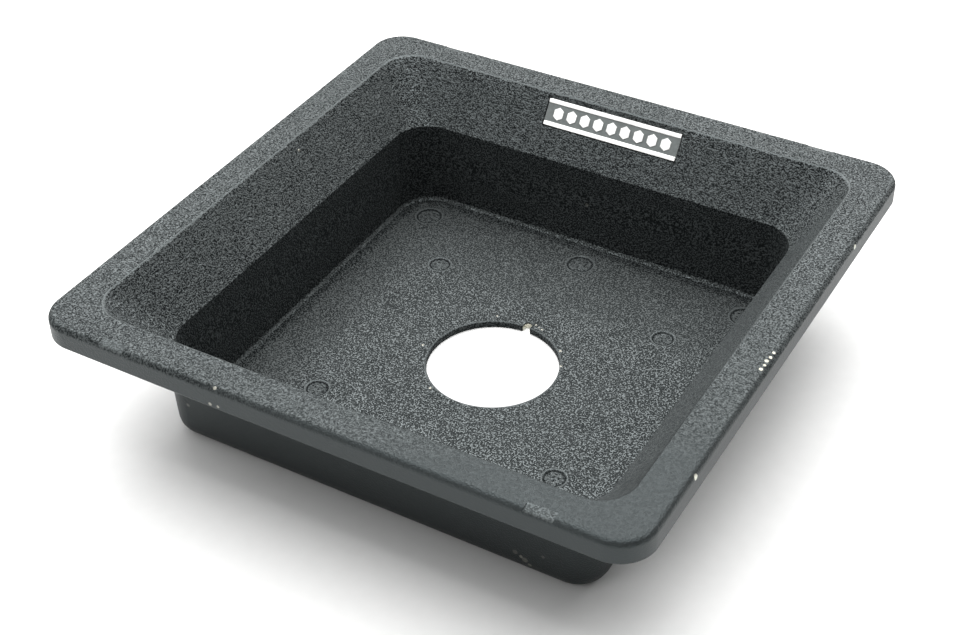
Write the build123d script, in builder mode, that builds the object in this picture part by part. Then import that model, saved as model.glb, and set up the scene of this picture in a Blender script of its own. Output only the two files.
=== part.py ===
from build123d import *
import os
from math import atan2, cos, sin, tan

os.makedirs("parts", exist_ok=True)

# Recessed lens board for a large-format view camera, in millimetres.
# The origin is the centre of the shutter hole on the back face of the dish.
# +Z points out of the dish's open front, and +Y points to the side with the nameplate.

# Rim: the flat flange that the camera's front standard holds.
RIM_SIDE = 158.0
RIM_CORNER_R = 9.0
RIM_THICKNESS = 6.1
RIM_TOP_ROUND = 1.6
RIM_UNDER_ROUND = 0.3

# Whole board, from the back face of the dish to the front face of the rim.
BOARD_DEPTH = 41.5
FLOOR_THICKNESS = 1.9

# Dish: a sloped wall from the rim down to its foot, then a steep wall to the floor.
MOUTH_SIDE = 139.6
MOUTH_CORNER_R = 9.0
MOUTH_ROUND = 0.7
SLOPE_DEPTH = 15.0
SLOPE_FOOT_SIDE = 118.6
FLOOR_SIDE = 117.2
DISH_CORNER_R = 10.0
FLOOR_FILLET = 1.2

# Outside of the dish: it follows the slope, then runs down as a box with rounded edges.
NECK_SIDE = 135.0
NECK_CORNER_R = 10.0
NECK_DEPTH = 16.0
BOX_SIDE_TOP = 121.6
BOX_SIDE_BACK = 119.8
BOX_CORNER_R = 8.0
BOX_BACK_ROUND = 4.2

# Hole for a size 0 leaf shutter, with the slot that stops the shutter from turning.
SHUTTER_HOLE_D = 34.9
KEY_SLOT_WIDTH = 2.2
KEY_SLOT_REACH = 2.15
KEY_SLOT_BEARING = 88.7

# Round marks that the die's ejector pins left in the floor.
MARK_DEPTH = 0.25
OUTER_MARK_D = 7.5
OUTER_MARK_PITCH = 49.5
INNER_MARK_D = 6.0
INNER_MARK_PITCH_X = 69.0
INNER_MARK_PITCH_Y = 61.2

# Shallow sloping flats filed in the front outer edge of the rim, two on each of two sides.
FLAT_LENGTH = 7.0
FLAT_WIDTH = 2.6
FLAT_DROP = 0.6
FLAT_OFFSET = 55.8

# Nameplate: a plate glued in a pocket in the sloped wall.
PLATE_LENGTH = 40.4
PLATE_WIDTH = 7.6
PLATE_BASE = 0.45
PLATE_RELIEF = 0.35
PLATE_START = 1.75
BAR_WIDTH = 1.25
GLUE_THICKNESS = 0.1
GLUE_MARGIN = 0.4
ENAMEL_THICKNESS = 0.22
PIP_COUNT = 9
PIP_PITCH = 4.1
PIP_WIDTH = 2.9
PIP_HEIGHT = 3.7
PIP_SHOULDER = 0.95
POCKET_CLEARANCE = 0.25
POCKET_WALL_Y = 69.6
ABOVE_RIM = 1.0

# Levels, and the direction of the sloped wall on the +Y side.
RIM_UNDERSIDE = BOARD_DEPTH - RIM_THICKNESS
SLOPE_FOOT = BOARD_DEPTH - SLOPE_DEPTH
NECK_FOOT = BOARD_DEPTH - NECK_DEPTH
SLOPE_RUN = (MOUTH_SIDE - SLOPE_FOOT_SIDE) / 2
SLOPE_ANGLE = atan2(SLOPE_DEPTH, SLOPE_RUN)
PLATE_THICKNESS = PLATE_BASE + PLATE_RELIEF
POCKET_DEPTH = PLATE_THICKNESS + GLUE_THICKNESS


def on_slope(distance, depth):
    """Give the Y and Z of a point a distance down the +Y slope and a depth under its face."""
    y = MOUTH_SIDE / 2 - distance * cos(SLOPE_ANGLE) + depth * sin(SLOPE_ANGLE)
    z = BOARD_DEPTH - distance * sin(SLOPE_ANGLE) - depth * cos(SLOPE_ANGLE)
    return y, z


def slope_plane(depth):
    """Give the plane of the nameplate's centre, a depth under the face of the +Y slope."""
    y, z = on_slope(PLATE_START + PLATE_WIDTH / 2, depth)
    return Plane(origin=(0, y, z), x_dir=(1, 0, 0), z_dir=(0, -sin(SLOPE_ANGLE), cos(SLOPE_ANGLE)))


def pip_outline(mode):
    """Draw the nameplate's row of hexagons, each with a point up and a point down the slope."""
    half = PIP_WIDTH / 2
    tip = PIP_HEIGHT / 2
    with GridLocations(PIP_PITCH, PLATE_WIDTH, PIP_COUNT, 1):
        Polygon(
            (-half, PIP_SHOULDER),
            (-half, -PIP_SHOULDER),
            (0, -tip),
            (half, -PIP_SHOULDER),
            (half, PIP_SHOULDER),
            (0, tip),
            mode=mode,
        )


def pocket_floor(y):
    """Give the point of the pocket's floor, in Y and Z, at a given Y."""
    start_y, start_z = on_slope(0, POCKET_DEPTH)
    return y, start_z + (y - start_y) * tan(SLOPE_ANGLE)


# The pocket is drawn straight up out of the die, so its end walls stand upright.
pocket_low_y = on_slope(PLATE_START + PLATE_WIDTH + POCKET_CLEARANCE, 0)[0]

with BuildPart() as board_casting:
    # Rim plate with its rounded outer edges.
    with BuildSketch(Plane.XY.offset(RIM_UNDERSIDE)):
        RectangleRounded(RIM_SIDE, RIM_SIDE, RIM_CORNER_R)
    extrude(amount=RIM_THICKNESS)
    fillet(board_casting.faces().sort_by(Axis.Z)[-1].edges(), RIM_TOP_ROUND)
    fillet(board_casting.faces().sort_by(Axis.Z)[0].edges(), RIM_UNDER_ROUND)

    # Outside of the dish under the rim.
    with BuildSketch(Plane.XY.offset(RIM_UNDERSIDE)):
        RectangleRounded(NECK_SIDE, NECK_SIDE, NECK_CORNER_R)
    with BuildSketch(Plane.XY.offset(NECK_FOOT)):
        RectangleRounded(BOX_SIDE_TOP, BOX_SIDE_TOP, BOX_CORNER_R)
    loft()
    with BuildSketch(Plane.XY.offset(NECK_FOOT)):
        RectangleRounded(BOX_SIDE_TOP, BOX_SIDE_TOP, BOX_CORNER_R)
    with BuildSketch(Plane.XY):
        RectangleRounded(BOX_SIDE_BACK, BOX_SIDE_BACK, BOX_CORNER_R)
    loft()
    fillet(board_casting.faces().sort_by(Axis.Z)[0].edges(), BOX_BACK_ROUND)

    # Inside of the dish: the sloped wall, then the steep wall down to the floor.
    with BuildSketch(Plane.XY.offset(BOARD_DEPTH)):
        RectangleRounded(MOUTH_SIDE, MOUTH_SIDE, MOUTH_CORNER_R)
    with BuildSketch(Plane.XY.offset(SLOPE_FOOT)):
        RectangleRounded(SLOPE_FOOT_SIDE, SLOPE_FOOT_SIDE, DISH_CORNER_R)
    loft(mode=Mode.SUBTRACT)
    with BuildSketch(Plane.XY.offset(SLOPE_FOOT)):
        RectangleRounded(SLOPE_FOOT_SIDE, SLOPE_FOOT_SIDE, DISH_CORNER_R)
    with BuildSketch(Plane.XY.offset(FLOOR_THICKNESS)):
        RectangleRounded(FLOOR_SIDE, FLOOR_SIDE, DISH_CORNER_R)
    loft(mode=Mode.SUBTRACT)
    dish_floor = board_casting.faces().filter_by(Plane.XY).filter_by_position(
        Axis.Z, FLOOR_THICKNESS - 0.01, FLOOR_THICKNESS + 0.01
    )
    fillet(dish_floor.edges(), FLOOR_FILLET)
    rim_front = board_casting.faces().sort_by(Axis.Z)[-1]
    fillet(rim_front.inner_wires()[0].edges(), MOUTH_ROUND)

    # Shutter hole and its key slot, both through the floor.
    with BuildSketch(Plane.XY):
        Circle(SHUTTER_HOLE_D / 2)
        slot_middle = SHUTTER_HOLE_D / 2 + KEY_SLOT_REACH - KEY_SLOT_WIDTH
        with PolarLocations(slot_middle, 1, start_angle=KEY_SLOT_BEARING):
            SlotCenterToCenter(KEY_SLOT_WIDTH, KEY_SLOT_WIDTH)
    extrude(amount=FLOOR_THICKNESS, mode=Mode.SUBTRACT)

    # Ejector-pin marks in the floor.
    with BuildSketch(Plane.XY.offset(FLOOR_THICKNESS)):
        for side in (-1, 1):
            with Locations((0, side * OUTER_MARK_PITCH)):
                Circle(OUTER_MARK_D / 2)
        with GridLocations(2 * OUTER_MARK_PITCH, 2 * OUTER_MARK_PITCH, 2, 2):
            Circle(OUTER_MARK_D / 2)
        with GridLocations(INNER_MARK_PITCH_X, INNER_MARK_PITCH_Y, 2, 2):
            Circle(INNER_MARK_D / 2)
    extrude(amount=-MARK_DEPTH, mode=Mode.SUBTRACT)

    # Sloping flats in the rim's front outer edge. Each goes down from nothing to its drop.
    for side in (-1, 1):
        for end in (-1, 1):
            with BuildSketch(Plane.YZ.offset(end * FLAT_OFFSET)):
                with BuildLine():
                    Polyline(
                        (side * (RIM_SIDE / 2 - FLAT_WIDTH), BOARD_DEPTH),
                        (side * RIM_SIDE / 2, BOARD_DEPTH - FLAT_DROP),
                        (side * RIM_SIDE / 2, BOARD_DEPTH + ABOVE_RIM),
                        (side * (RIM_SIDE / 2 - FLAT_WIDTH), BOARD_DEPTH + ABOVE_RIM),
                        close=True,
                    )
                make_face()
            extrude(amount=FLAT_LENGTH / 2, both=True, mode=Mode.SUBTRACT)

    # Pocket for the nameplate in the sloped wall.
    with BuildSketch(Plane.YZ):
        with BuildLine():
            Polyline(
                (POCKET_WALL_Y, BOARD_DEPTH + ABOVE_RIM),
                pocket_floor(POCKET_WALL_Y),
                pocket_floor(pocket_low_y),
                (pocket_low_y, BOARD_DEPTH + ABOVE_RIM),
                close=True,
            )
        make_face()
    extrude(amount=PLATE_LENGTH / 2 + POCKET_CLEARANCE, both=True, mode=Mode.SUBTRACT)

board_casting.part.label = "board_casting"
export_step(board_casting.part, "parts/board_casting.step")

# Film of glue between the pocket's floor and the plate.
with BuildPart() as nameplate_adhesive:
    with BuildSketch(slope_plane(POCKET_DEPTH)):
        Rectangle(PLATE_LENGTH - 2 * GLUE_MARGIN, PLATE_WIDTH - 2 * GLUE_MARGIN)
    extrude(amount=GLUE_THICKNESS)

nameplate_adhesive.part.label = "nameplate_adhesive"
export_step(nameplate_adhesive.part, "parts/nameplate_adhesive.step")

# Metal plate: a base with a bar along each long edge and a row of raised hexagons.
with BuildPart() as nameplate_plate:
    with BuildSketch(slope_plane(PLATE_THICKNESS)):
        Rectangle(PLATE_LENGTH, PLATE_WIDTH)
    extrude(amount=PLATE_BASE)
    with BuildSketch(slope_plane(PLATE_RELIEF)):
        with GridLocations(PLATE_LENGTH, PLATE_WIDTH - BAR_WIDTH, 1, 2):
            Rectangle(PLATE_LENGTH, BAR_WIDTH)
        pip_outline(Mode.ADD)
    extrude(amount=PLATE_RELIEF)

nameplate_plate.part.label = "nameplate_plate"
export_step(nameplate_plate.part, "parts/nameplate_plate.step")

# Grey enamel that fills the sunk field around the hexagons.
with BuildPart() as nameplate_enamel:
    with BuildSketch(slope_plane(PLATE_RELIEF)):
        Rectangle(PLATE_LENGTH, PLATE_WIDTH - 2 * BAR_WIDTH)
        pip_outline(Mode.SUBTRACT)
    extrude(amount=ENAMEL_THICKNESS)

nameplate_enamel.part.label = "nameplate_enamel"
export_step(nameplate_enamel.part, "parts/nameplate_enamel.step")
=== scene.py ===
"""Recessed lens board for a large-format view camera, lying on its back on a pale table.

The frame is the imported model's: metres, +Z up out of the open dish, the origin at the centre of
the shutter hole on the back face, and +Y towards the side with the nameplate.
"""
import logging
from dataclasses import dataclass, field
from enum import Enum
from math import atan2, cos, pi, radians, sin, tan

import bpy
import numpy as np
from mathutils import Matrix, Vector


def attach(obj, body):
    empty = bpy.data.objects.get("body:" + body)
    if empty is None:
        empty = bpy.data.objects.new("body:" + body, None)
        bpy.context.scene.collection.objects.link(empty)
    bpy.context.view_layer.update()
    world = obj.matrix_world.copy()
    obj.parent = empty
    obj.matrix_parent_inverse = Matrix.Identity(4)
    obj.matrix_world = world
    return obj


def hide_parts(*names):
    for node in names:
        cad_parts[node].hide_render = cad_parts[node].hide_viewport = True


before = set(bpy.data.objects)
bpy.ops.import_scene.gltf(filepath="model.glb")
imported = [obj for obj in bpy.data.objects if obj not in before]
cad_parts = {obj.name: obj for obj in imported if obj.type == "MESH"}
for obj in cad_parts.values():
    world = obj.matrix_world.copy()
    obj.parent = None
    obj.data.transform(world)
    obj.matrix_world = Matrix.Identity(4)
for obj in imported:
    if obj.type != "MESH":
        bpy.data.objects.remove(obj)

LOG = logging.getLogger("lens_board")
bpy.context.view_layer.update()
MM = 0.001

# Two grid lines this far on each side of a cut's edge make its wall nearly upright.
WALL_GAP = 0.02
# The back's grid is the floor's, shrunk to fit inside the back's rounded corners.
BACK_SHRINK = 0.96
# An ejector mark's depth, the flat left round it, and the grid lines beside its edge.
MARK_DEPTH = 0.25
MARK_MARGIN = 0.75
MARK_STEPS = np.array([-1.0, -0.66, -0.5, -0.16, 0.0, 0.12, 0.36, 0.5])
# The small bevel at each edge of the shutter hole.
HOLE_BEVEL = 0.15


# ------------------------------------------------------------------ colour and nodes


def linear(code: str) -> tuple[float, float, float, float]:
    """Turn an sRGB hex colour into a linear one.

    Args:
        code: six hex digits, with or without a leading hash.

    Returns:
        Red, green, blue and a full alpha. Each channel c up to 0.04045 becomes c / 12.92, and any
        other becomes ((c + 0.055) / 1.055) to the power 2.4.
    """
    digits = code.lstrip("#")
    channels = [int(digits[i:i + 2], 16) / 255.0 for i in (0, 2, 4)]
    curved = [c / 12.92 if c <= 0.04045 else ((c + 0.055) / 1.055) ** 2.4 for c in channels]
    return curved[0], curved[1], curved[2], 1.0


def add_node(
    tree: bpy.types.NodeTree,
    kind: str,
    values: dict | None = None,
    links: dict | None = None,
    **settings: object,
) -> bpy.types.Node:
    """Add one node with its settings, its socket values and its incoming links.

    Args:
        tree: the material's or the world's node tree.
        kind: Blender's name for the node type.
        values: socket name or index to the plain value set on it.
        links: socket name or index to the output socket that feeds it.
        **settings: properties of the node itself.

    Returns:
        The new node.
    """
    node = tree.nodes.new(kind)
    for name, value in settings.items():
        setattr(node, name, value)
    for socket, value in (values or {}).items():
        node.inputs[socket].default_value = value
    for socket, output in (links or {}).items():
        tree.links.new(output, node.inputs[socket])
    return node


def new_material(name: str) -> tuple[bpy.types.Material, bpy.types.NodeTree]:
    """Make an empty node material.

    Args:
        name: the material's name.

    Returns:
        The material and its node tree, with no node in it.
    """
    material = bpy.data.materials.new(name)
    material.use_nodes = True
    material.node_tree.nodes.clear()
    return material, material.node_tree


# ------------------------------------------------------------------ surfaces


def grid_quads(index: np.ndarray) -> np.ndarray:
    """Join a grid of vertex numbers into four-sided faces.

    Args:
        index: vertex numbers, rows by columns.

    Returns:
        One row of four numbers per face. Each face joins a point, its right neighbour, the
        diagonal one and the one below.
    """
    a, b = index[:-1, :-1], index[:-1, 1:]
    c, d = index[1:, 1:], index[1:, :-1]
    return np.stack([a, b, c, d], axis=-1).reshape(-1, 4)


@dataclass
class Shell:
    """Patches of a surface, welded along the points that they share.

    Each point carries four figures for its paint. Grain says how strongly the texture shows,
    tone makes it lighter or darker than its neighbours and carries painted highlights and shade,
    bare is the share of bare metal, and lump says how strongly its broader lumps show.
    """

    patches: list[np.ndarray] = field(default_factory=list)
    paints: list[np.ndarray] = field(default_factory=list)

    def add(
        self, points: np.ndarray, grain: np.ndarray | float = 1.0,
        tone: np.ndarray | float = 0.0, bare: np.ndarray | float = 0.0,
        lump: np.ndarray | float = 0.0,
    ) -> None:
        """Add one patch. The last four figures are for the patch or for each of its points.

        Args:
            points: rows by columns by three, in millimetres.
            grain: strength of the paint's texture.
            tone: how much lighter the paint is, or darker below zero, for painted highlights and
                shade.
            bare: share of bare metal.
            lump: strength of the broad lumps.
        """
        self.patches.append(points)
        shape = points.shape[:2]
        figures = [np.broadcast_to(np.asarray(v, float), shape) for v in (grain, tone, bare, lump)]
        self.paints.append(np.stack(figures, axis=-1))

    def object(self, name: str, sharp_deg: float = 35.0) -> bpy.types.Object:
        """Weld the patches into one mesh object.

        Points closer than a ten-thousandth of a millimetre become one vertex. A face that
        loses a corner to the weld stays as a triangle, and one that loses two is left out.

        Args:
            name: the object's name.
            sharp_deg: edges that turn more than this are drawn sharp.

        Returns:
            The object, in the scene, with smooth faces and the point attribute "paint".
        """
        counts = [p.shape[0] * p.shape[1] for p in self.patches]
        starts = np.concatenate([[0], np.cumsum(counts)[:-1]])
        points = np.concatenate([p.reshape(-1, 3) for p in self.patches])
        paint = np.concatenate([p.reshape(-1, 4) for p in self.paints])
        keys = np.round(points * 1.0e4 + 0.137).astype(np.int64)
        _, first, back = np.unique(keys, axis=0, return_index=True, return_inverse=True)
        back = back.reshape(-1)
        quads = np.concatenate([
            grid_quads(np.arange(n).reshape(p.shape[:2]) + start)
            for p, n, start in zip(self.patches, counts, starts)
        ])
        quads = back[quads][:, ::-1]
        repeated = quads == np.roll(quads, -1, axis=1)
        whole = quads[repeated.sum(axis=1) == 0]
        pinched = quads[repeated.sum(axis=1) == 1]
        gone = repeated[repeated.sum(axis=1) == 1]
        triangles = pinched[~gone].reshape(-1, 3)
        mesh = bpy.data.meshes.new(name)
        loops = np.concatenate([whole.reshape(-1), triangles.reshape(-1)])
        sizes = np.concatenate([np.full(len(whole), 4), np.full(len(triangles), 3)])
        mesh.vertices.add(len(first))
        mesh.vertices.foreach_set("co", (points[first] * MM).astype(np.float32).reshape(-1))
        mesh.loops.add(len(loops))
        mesh.loops.foreach_set("vertex_index", loops.astype(np.int32))
        mesh.polygons.add(len(sizes))
        mesh.polygons.foreach_set(
            "loop_start", np.concatenate([[0], np.cumsum(sizes)[:-1]]).astype(np.int32)
        )
        layer = mesh.attributes.new("paint", "FLOAT_COLOR", "POINT")
        layer.data.foreach_set("color", paint[first].astype(np.float32).reshape(-1))
        mesh.update(calc_edges=True)
        mesh.validate()
        mesh.shade_smooth()
        mesh.set_sharp_from_angle(angle=radians(sharp_deg))
        thing = bpy.data.objects.new(name, mesh)
        bpy.context.scene.collection.objects.link(thing)
        return thing


@dataclass(frozen=True)
class Corner:
    """One corner of the board's section, in millimetres."""

    half: float
    level: float
    straight: float
    round: float = 0.0


@dataclass(frozen=True)
class SectionRun:
    """The board's section as a run of rings, each a square with rounded corners."""

    corners: tuple[Corner, ...]
    arc_steps: int = 5
    hug: float = 0.12
    stride: float = 4.0

    def rings(self, kept: dict[int, tuple[float, ...]] | None = None) -> np.ndarray:
        """Work out the rings.

        Between two corners the section is a straight line, and at a corner it is an arc that
        touches both lines. Each line has a point close to its ends, so that the light stays
        even on the flat next to an arc.

        Args:
            kept: for a line's number, extra places along it, as fractions of the whole line.

        Returns:
            One row per ring: half side, level and half of the straight part of a side.
        """
        kept = kept or {}
        nodes = np.array([(c.half, c.level, c.straight) for c in self.corners])
        steps = np.diff(nodes[:, :2], axis=0)
        lengths = np.hypot(steps[:, 0], steps[:, 1])
        along = steps / lengths[:, None]
        turn = np.zeros(len(nodes))
        turn[1:-1] = np.arccos(np.clip((along[:-1] * along[1:]).sum(axis=1), -1, 1))
        reach = np.array([c.round for c in self.corners]) * np.tan(turn / 2)
        rows: list[np.ndarray] = []
        for i, length in enumerate(lengths):
            low, high = reach[i], length - reach[i + 1]
            inner = np.arange(low + self.stride, high - self.stride * 0.6, self.stride)
            extra = np.array(kept.get(i, ())) * length
            hugs = np.array([low + self.hug, high - self.hug]) if high - low > 4 * self.hug else []
            gaps = np.abs(inner[:, None] - extra[None, :]).min(axis=1, initial=np.inf)
            places = np.concatenate([[low], inner[gaps >= 0.5], extra, hugs, [high]])
            places = np.unique(np.clip(places, low, high))
            share = (places / length)[:, None]
            line = nodes[i] * (1 - share) + nodes[i + 1] * share
            if reach[i] > 0:
                rows.append(self._arc(rows[-1][-1], line[0], nodes[i], turn[i]))
            rows.append(line[1:] if i else line)
        return np.concatenate(rows)

    def _arc(self, start: np.ndarray, end: np.ndarray, node: np.ndarray, turn: float) -> np.ndarray:
        """Give the rings of one arc, from after its start to its end.

        Args:
            start: the ring where the arc begins.
            end: the ring where it ends.
            node: the corner that it rounds.
            turn: the angle between the two lines.

        Returns:
            Points of the circle that touches both lines, found by turning evenly from the
            start to the end about the centre on the corner's bisector.
        """
        share = np.linspace(0, 1, self.arc_steps + 1)[1:]
        middle = (start[:2] + end[:2]) / 2
        away = middle - node[:2]
        touch = np.hypot(*(start[:2] - node[:2]))
        radius = touch / tan(turn / 2)
        centre = node[:2] + away / np.hypot(*away) * radius / cos(turn / 2)
        a = start[:2] - centre
        b = end[:2] - centre
        near = np.sin((1 - share) * turn)[:, None] * a + np.sin(share * turn)[:, None] * b
        straight = start[2] * (1 - share) + end[2] * share
        return np.column_stack([centre + near / sin(turn), straight])


# ------------------------------------------------------------------ the board


@dataclass(frozen=True)
class PinMark:
    """A round mark that an ejector pin of the die left in the floor."""

    x: float
    y: float
    radius: float

    @property
    def block(self) -> float:
        """Half side of the square patch of floor that holds the mark."""
        return self.radius + MARK_MARGIN


@dataclass(frozen=True)
class Coat:
    """How the paint lies on one zone: its texture's strength, and its tone, which paints highlights
    and shade.
    """

    grain: float
    tone: float


class Zone(Enum):
    """The board's zones whose paint differs from the rest of the front; most tones are painted
    light and shade.
    """

    # Painted shade: the steep walls' colour is darkened.
    STEEP_WALL_SHADE = Coat(0.5, -0.36)
    # Painted highlight on the floor's fillet at the foot of the walls.
    FLOOR_EDGE_HIGHLIGHT = Coat(0.78, 0.1)
    # Painted highlight on the mouth's rounded edge.
    MOUTH_EDGE_HIGHLIGHT = Coat(0.3, 0.32)
    OUTSIDE = Coat(0.12, 0.0)
    # Painted shade: a dark line on the rim's outer rounding.
    RIM_ROUNDING_SHADE = Coat(0.4, -0.22)
    # Painted highlight along the lower edge of the rim's side.
    RIM_LOW_EDGE_HIGHLIGHT = Coat(0.3, 0.45)
    FILED_FLAT = Coat(0.3, 0.0)
    # Painted highlight on an ejector mark's raised lip.
    MARK_LIP_HIGHLIGHT = Coat(0.3, 0.22)
    # Painted shade in the sunk ring inside an ejector mark's lip.
    MARK_RING_SHADE = Coat(0.3, -0.5)
    MARK_DISC = Coat(0.5, 0.0)


@dataclass
class BoardCasting:
    """The die-cast board: rim, sloped wall, steep wall, floor and outer box, in millimetres.

    The fields from core_half to fixed_half are lines of the grid that every part shares.
    """

    depth: float = 41.5
    floor: float = 1.9
    rim_half: float = 79.0
    rim_corner: float = 9.0
    rim_thickness: float = 6.1
    rim_round: float = 1.6
    rim_low_round: float = 0.3
    mouth_half: float = 69.8
    mouth_corner: float = 9.0
    mouth_round: float = 0.7
    foot_half: float = 59.3
    foot_drop: float = 15.0
    floor_half: float = 58.6
    floor_round: float = 1.2
    dish_corner: float = 10.0
    neck_half: float = 67.5
    neck_corner: float = 10.0
    box_top_half: float = 60.8
    box_top: float = 25.5
    box_back_half: float = 59.9
    box_corner: float = 8.0
    box_round: float = 4.2
    hole_radius: float = 17.45
    slot_half: float = 1.1
    slot_reach: float = 2.15
    slot_turn: float = radians(-1.3)
    slot_line: float = 3.25
    slot_bend_line: float = 2.4
    core_half: float = 25.0
    field_half: float = 54.4
    corner_start: float = 45.0
    fixed_half: float = 21.0
    flat_ends: tuple[float, float] = (52.3, 59.3)
    flat_inner: float = 76.4
    flat_drop: float = 0.6
    pocket_half: float = 20.45
    pocket_low: float = 64.3
    pocket_high: float = 69.5
    pocket_depth: float = 0.9
    mark_pitch: float = 49.5
    inner_mark_x: float = 34.5
    inner_mark_y: float = 30.6
    wide_mark_radius: float = 3.75
    inner_mark_radius: float = 3.0
    texture: float = 0.78
    lump: float = 0.4
    land_skin: float = 0.3
    corner_reach: float = 108.0

    def __post_init__(self) -> None:
        """List the ejector marks."""
        wide = [(x, y) for x in (-self.mark_pitch, 0, self.mark_pitch) for y in (-1, 1)]
        self.marks = [PinMark(x, y * self.mark_pitch, self.wide_mark_radius) for x, y in wide]
        self.marks += [
            PinMark(x * self.inner_mark_x, y * self.inner_mark_y, self.inner_mark_radius)
            for x in (-1, 1) for y in (-1, 1)
        ]
        run = self.mouth_half - self.foot_half
        self.slope = atan2(self.foot_drop, run)

    def side_lines(self, across: bool) -> np.ndarray:
        """Give the places along a side where the grid's lines cross it.

        Lines crowd round each ejector mark and at the key slot, stand in pairs at the walls of
        the pocket and the filed flats, and are a few millimetres apart elsewhere.

        Args:
            across: true for places in X, false for places in Y.

        Returns:
            Places from minus field_half to plus field_half, the same on both sides of zero.
        """
        centres = sorted({abs(m.x if across else m.y) for m in self.marks})
        blocks = {c: max(m.block for m in self.marks
                         if abs(abs(m.x if across else m.y) - c) < 1e-9) for c in centres}
        radius = {c: blocks[c] - MARK_MARGIN for c in centres}
        coarse = np.linspace(0, self.field_half, 27)
        keep = np.ones(len(coarse), bool)
        parts = []
        for c in centres:
            keep &= np.abs(coarse - c) > blocks[c] + 0.4
            steps = np.concatenate([[0, 0.8, 1.6], radius[c] + MARK_STEPS, [blocks[c]]])
            parts += [c - steps, c + steps]
        singles = [self.core_half, self.corner_start, self.field_half]
        if across:
            stretch = self.rim_straight - self.fixed_half
            back = (self.corner_start - self.fixed_half) / stretch
            for end in self.flat_ends:
                place = self.fixed_half + (end - self.fixed_half) * back
                singles += [place - WALL_GAP, place + WALL_GAP]
            singles += [0.4, 1.2, 2.0, self.slot_bend_line]
            singles += [self.pocket_half - WALL_GAP, self.pocket_half + WALL_GAP]
        singles += [self.fixed_half]
        for single in singles:
            keep &= np.abs(coarse - single) > 0.5
        lines = np.concatenate([coarse[keep], *parts, singles])
        lines = lines[(lines >= 0) & (lines <= self.field_half)]
        return np.unique(np.round(np.concatenate([-lines, lines]), 5) + 0.0)

    @property
    def rim_straight(self) -> float:
        """Half of the straight part of the rim's outer side."""
        return self.rim_half - self.rim_corner

    def ring(self, half: np.ndarray, level: np.ndarray, straight: np.ndarray) -> np.ndarray:
        """Carry the section round the board as squares with rounded corners.

        A side's lines keep their place up to fixed_half. From there to corner_start they are
        spread to the end of the straight part, and past corner_start they run round an eighth
        of a turn of the corner's circle.

        Args:
            half: half side of each ring.
            level: height of each ring.
            straight: half of the straight part of each ring's sides.

        Returns:
            Rings by points by three. The first and last point of a ring are the same.
        """
        sides = []
        for quarter in range(4):
            places = self.side_lines(across=quarter % 2 == 0)
            size = np.abs(places)[None, :]
            h, s = half[:, None], straight[:, None]
            spread = (size - self.fixed_half) / (self.corner_start - self.fixed_half)
            on_side = np.where(
                size <= self.fixed_half, size,
                self.fixed_half + spread * (s - self.fixed_half),
            )
            turn = (size - self.corner_start) / (self.field_half - self.corner_start) * pi / 4
            turn = np.clip(turn, 0, pi / 4)
            radius = h - s
            in_corner = size > self.corner_start
            along = np.where(in_corner, s + radius * np.sin(turn), on_side)
            out = np.where(in_corner, s + radius * np.cos(turn), h + 0 * size)
            along = along * np.sign(places)[None, :]
            angle = quarter * pi / 2
            x = along * cos(angle) + out * sin(angle)
            y = along * sin(angle) - out * cos(angle)
            z = level[:, None] + 0 * x
            side = np.stack([x, y, z], axis=-1)
            sides.append(side if quarter == 3 else side[:, :-1])
        rows = np.concatenate(sides, axis=1)
        rows[:, -1] = rows[:, 0]
        return rows

    def square_ring(self, half: float) -> np.ndarray:
        """Give the grid's own points on a square round the floor's centre.

        Args:
            half: half side of the square, which must be one of the grid's lines.

        Returns:
            Points by three, in the order of a ring.
        """
        sides = []
        for quarter in range(4):
            places = self.side_lines(across=quarter % 2 == 0)
            places = places[np.abs(places) <= half + 1e-9]
            angle = quarter * pi / 2
            x = places * cos(angle) + half * sin(angle)
            y = places * sin(angle) - half * cos(angle)
            sides.append(np.stack([x, y, 0 * x + self.floor], axis=-1)[:-1])
        loop = np.concatenate(sides)
        return np.concatenate([loop, loop[:1]])

    def hole_line(self) -> np.ndarray:
        """Give the outline of the shutter hole with its key slot.

        Away from the slot the points lie on the circle, spread evenly by angle from the slot's
        edge to the diagonal. In the slot they run up its side and round its end, a quarter
        circle on each side. The whole outline is turned by the slot's own small turn.

        Returns:
            Points by two, in the same order and number as the core's square.
        """
        near, bend = self.slot_line, self.slot_bend_line
        mouth = np.arcsin(self.slot_half / self.hole_radius)
        mouth_y = self.hole_radius * np.cos(mouth)
        bend_y = self.hole_radius + self.slot_reach - self.slot_half
        sides = []
        for quarter in range(4):
            places = self.side_lines(across=quarter % 2 == 0)
            places = places[np.abs(places) <= self.core_half + 1e-9]
            size = np.abs(places)
            angle = np.where(
                size > near,
                mouth + (size - near) / (self.core_half - near) * (pi / 4 - mouth),
                size / near * mouth,
            )
            along = self.hole_radius * np.sin(angle)
            out = self.hole_radius * np.cos(angle)
            if quarter == 2:
                turn = np.clip(1 - size / bend, 0, 1) * pi / 2
                rise = np.clip((near - size) / (near - bend), 0, 1)
                up = mouth_y + rise * (bend_y - mouth_y) + self.slot_half * np.sin(turn)
                along = np.where(size < near, self.slot_half * np.cos(turn), along)
                out = np.where(size < near, up, out)
            along = along * np.sign(places)
            turn_by = quarter * pi / 2 + self.slot_turn
            x = along * cos(turn_by) + out * sin(turn_by)
            y = along * sin(turn_by) - out * cos(turn_by)
            sides.append(np.stack([x, y], axis=-1)[:-1])
        loop = np.concatenate(sides)
        return np.concatenate([loop, loop[:1]])

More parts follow.
